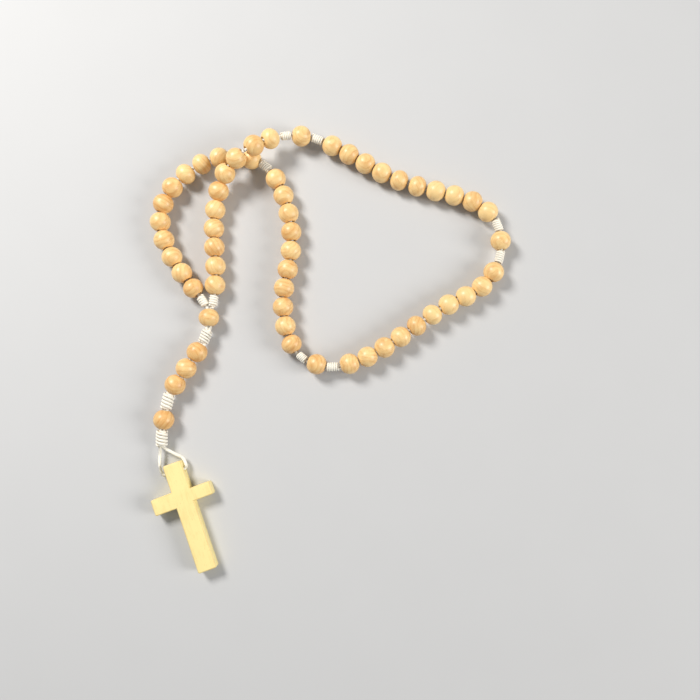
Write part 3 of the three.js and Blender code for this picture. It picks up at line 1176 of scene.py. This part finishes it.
class ROSARY_OT_pendant_beads(bpy.types.Operator):
    """Turns the four beads of the pendant"""

    bl_idname = "rosary.pendant_beads"
    bl_label = "Pendant beads"

    def execute(self, context):
        plan = layout(context.scene)
        three = plan.named["pendant_hail_mary_beads"]
        for number in range(PENDANT_BEADS):
            share = (number + 0.5) / PENDANT_BEADS
            name = f"turned_pendant_hail_mary_{number + 1}"
            turn_bead(context.scene, plan, name, three.name, three.place(share))
        last = plan.named["pendant_our_father_bead"]
        turn_bead(context.scene, plan, f"turned_{last.name}", last.name, last.place())
        return {"FINISHED"}


def turn_bead(scene, plan, name, node, place):
    """Makes one bead with its own grain and tone. Beads towards -X and -Y are the deepest."""
    beads = scene.rosary_beads
    dice = random.Random(name)
    shape = bead_shape(beads, dice, node in BEAD_BY_FOLD)
    far = place.translation - plan.centre
    tone = BEAD_TONE - TONE_FALL_Y * far.y - TONE_FALL_X * far.x
    tone += dice.uniform(*TONE_SPREAD)
    shift = Vector([dice.uniform(*span) for span in BEAD_PLANK])
    turn = Euler([dice.uniform(0, math.tau) for _ in range(3)]).to_matrix()
    write_grain(shape, turn, shift, tone)
    bmesh.ops.transform(shape, matrix=place, verts=shape.verts)
    bead = new_piece(shape, name, bead_wood(beads))
    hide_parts(node)
    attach(bead, plan.bodies[node])
    return bead


class ROSARY_OT_cross(bpy.types.Operator):
    """Cuts the cross with its eased edges and drills its hole"""

    bl_idname = "rosary.cross"
    bl_label = "Cross"

    def execute(self, context):
        scene = context.scene
        cross = scene.rosary_cross
        plan = layout(scene)
        piece = new_piece(cross_shape(cross), "cross", cross_wood(cross))
        hole = cross.hole / 2
        side = cross.upright / 2
        wide = hole + HOLE_FLARE + MM
        outline = [
            (DRILL_TIP, -side - MM), (wide, -side - MM), (hole, -side + HOLE_FLARE),
            (hole, side - HOLE_FLARE), (wide, side + MM), (DRILL_TIP, side + MM),
        ]
        drill = turned_round(outline, DRILL_SIDES, 10 * DRILL_TIP)
        bmesh.ops.transform(
            drill,
            matrix=Matrix.Translation((0, 0, CROSS_THICKNESS / 2))
            @ Matrix.Rotation(math.pi / 2, 4, "Y"),
            verts=drill.verts,
        )
        mesh = mesh_of(drill, "drill")
        cutter = set_out("drill", mesh)
        cut = piece.modifiers.new("drilled", "BOOLEAN")
        cut.operation = "DIFFERENCE"
        cut.solver = "EXACT"
        cut.object = cutter
        drilled = bpy.data.meshes.new_from_object(
            piece.evaluated_get(context.evaluated_depsgraph_get())
        )
        piece.modifiers.clear()
        bpy.data.objects.remove(cutter)
        bpy.data.meshes.remove(mesh)
        shape = bmesh.new()
        shape.from_mesh(drilled)
        bmesh.ops.triangulate(shape, faces=shape.faces)
        turn = Matrix.Rotation(math.radians(90), 3, "X") @ Matrix.Rotation(GRAIN_SLANT, 3, "Y")
        write_grain(shape, turn, CROSS_PLANK, 0.0)
        # The cross's tone carries painted light and shade: a deeper tone along the eased top edges is
        # painted shade, a paler tone on the sides is painted light.
        tones = shape.verts.layers.float["tone"]
        from_top, to_side = (share * cross.edge for share in PAINTED_SHADE_BAND)
        for vertex in shape.verts:
            below_top = CROSS_THICKNESS - vertex.co.z
            if from_top < below_top < to_side:
                vertex[tones] = EDGE_PAINTED_SHADE
            elif below_top > 0:
                vertex[tones] = SIDE_PAINTED_LIGHT
        bmesh.ops.transform(shape, matrix=plan.cross_place(), verts=shape.verts)
        shape.to_mesh(piece.data)
        shape.free()
        bpy.data.meshes.remove(drilled)
        piece.data.set_sharp_from_angle(angle=SHARP_ANGLE)
        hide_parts("wooden_cross")
        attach(piece, "wooden_cross")
        return {"FINISHED"}


class ROSARY_OT_stage(bpy.types.Operator):
    """Lays the pale table top and sets a soft window light and a pale sky"""

    bl_idname = "rosary.stage"
    bl_label = "Table and light"

    def execute(self, context):
        scene = context.scene
        stage = scene.rosary_stage
        shape = bmesh.new()
        bmesh.ops.create_grid(shape, x_segments=8, y_segments=8, size=TABLE_REACH)
        table = set_out("table", mesh_of(shape, "table"))
        table.data.materials.append(table_finish("pale table", tuple(stage.table)))

        for name, size, strength, place in (
            ("window", 0.22, stage.key, (-0.36, 0.34, 0.48)),
            ("side window", 0.5, stage.side, (0.86, -0.16, 0.46)),
        ):
            window = bpy.data.lights.new(name, "AREA")
            window.shape = "DISK"
            window.size = size
            window.energy = strength
            window.color = WINDOW_COLOUR
            lamp = set_out(name, window)
            lamp.location = place
            lamp.rotation_euler = (-lamp.location).to_track_quat("-Z", "Y").to_euler()

        sky = bpy.data.worlds.new("sky")
        sky.use_nodes = True
        back = sky.node_tree.nodes["Background"]
        back.inputs["Color"].default_value = (*SKY_COLOUR, 1)
        back.inputs["Strength"].default_value = stage.fill
        scene.world = sky
        scene.view_settings.view_transform = "Standard"
        return {"FINISHED"}


class ROSARY_PT_panel(bpy.types.Panel):
    """The sizes, and a button for each group of pieces"""

    bl_label = "Rosary"
    bl_idname = "ROSARY_PT_panel"
    bl_space_type = "VIEW_3D"
    bl_region_type = "UI"
    bl_category = "Rosary"

    def draw(self, context):
        for name, _ in SETTINGS:
            group = getattr(context.scene, name)
            box = self.layout.box()
            for key in group.__annotations__:
                box.prop(group, key)
        for operator in MAKING:
            self.layout.operator(operator.bl_idname)


SETTINGS = (
    ("rosary_beads", BeadSettings),
    ("rosary_cord", CordSettings),
    ("rosary_cross", CrossSettings),
    ("rosary_stage", StageSettings),
)
MAKING = (
    ROSARY_OT_camera,
    ROSARY_OT_loop_cord,
    ROSARY_OT_pendant_cord,
    ROSARY_OT_beads,
    ROSARY_OT_pendant_beads,
    ROSARY_OT_cross,
    ROSARY_OT_stage,
)


def register():
    for name, group in SETTINGS:
        bpy.utils.register_class(group)
        setattr(bpy.types.Scene, name, PointerProperty(type=group))
    for made in (*MAKING, ROSARY_PT_panel):
        bpy.utils.register_class(made)


def unregister():
    for made in (ROSARY_PT_panel, *reversed(MAKING)):
        bpy.utils.unregister_class(made)
    for name, group in reversed(SETTINGS):
        delattr(bpy.types.Scene, name)
        bpy.utils.unregister_class(group)


def main():
    register()
    bpy.ops.rosary.camera()
    bpy.ops.rosary.loop_cord()
    bpy.ops.rosary.pendant_cord()
    bpy.ops.rosary.beads()
    bpy.ops.rosary.pendant_beads()
    bpy.ops.rosary.cross()
    bpy.ops.rosary.stage()


if __name__ == "__main__":
    main()
